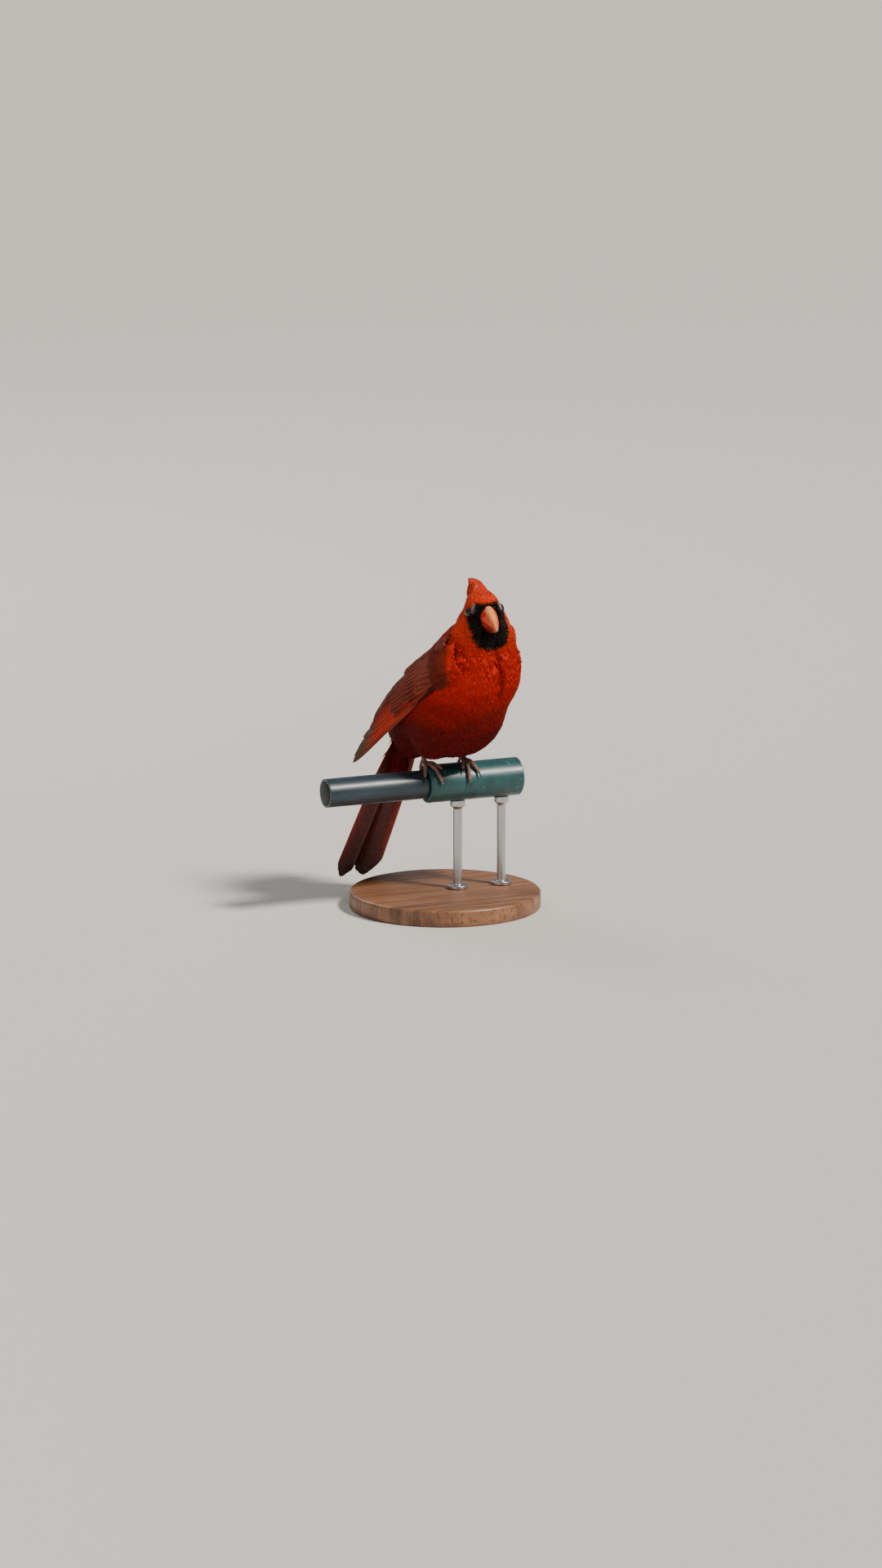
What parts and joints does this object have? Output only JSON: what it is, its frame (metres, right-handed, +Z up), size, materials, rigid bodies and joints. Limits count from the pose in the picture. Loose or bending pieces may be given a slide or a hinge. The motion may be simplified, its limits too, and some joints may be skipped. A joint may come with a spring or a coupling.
{
  "type": "bird model",
  "caption": "Life-size still model of a male red songbird with a crest, gripping a short perch on a plain round display stand.",
  "frame": {"origin": "centre of the underside of the stand's round base", "axes": "+Z up, +X along the perch from the bare tube towards the sleeve, -Y to the side the bird's breast faces"},
  "size_m": [0.1332, 0.117, 0.1963],
  "materials": {
    "plumage": "soft red plumage, black round the bill",
    "quills": "satin brown-red wing and tail feathers",
    "bill": "satin coral horn",
    "eye": "wet gloss dark brown",
    "foot_skin": "matte scaled skin",
    "claw": "satin dark horn",
    "tube": "satin dark slate",
    "sleeve": "satin dark teal",
    "plug": "matte black",
    "stand_wood": "oiled satin",
    "stand_steel": "brushed"
  },
  "bodies": {
    "root": {"head": "plumage", "neck": "plumage", "torso": "plumage", "eye_left": "eye", "eye_right": "eye", "bill_upper": "bill", "bill_lower": "bill", "wing_left": "quills", "wing_right": "quills", "tail": "quills", "leg_left": "foot_skin", "leg_right": "foot_skin", "foot_left": "foot_skin", "foot_right": "foot_skin", "claw_left_1": "claw", "claw_left_2": "claw", "claw_left_3": "claw", "claw_left_4": "claw", "claw_right_1": "claw", "claw_right_2": "claw", "claw_right_3": "claw", "claw_right_4": "claw", "perch_tube": "tube", "perch_sleeve": "sleeve", "perch_plug_left": "plug", "perch_plug_right": "plug", "stand_base": "stand_wood", "stand_rod_1": "stand_steel", "stand_rod_2": "stand_steel"}
  },
  "joints": []
}
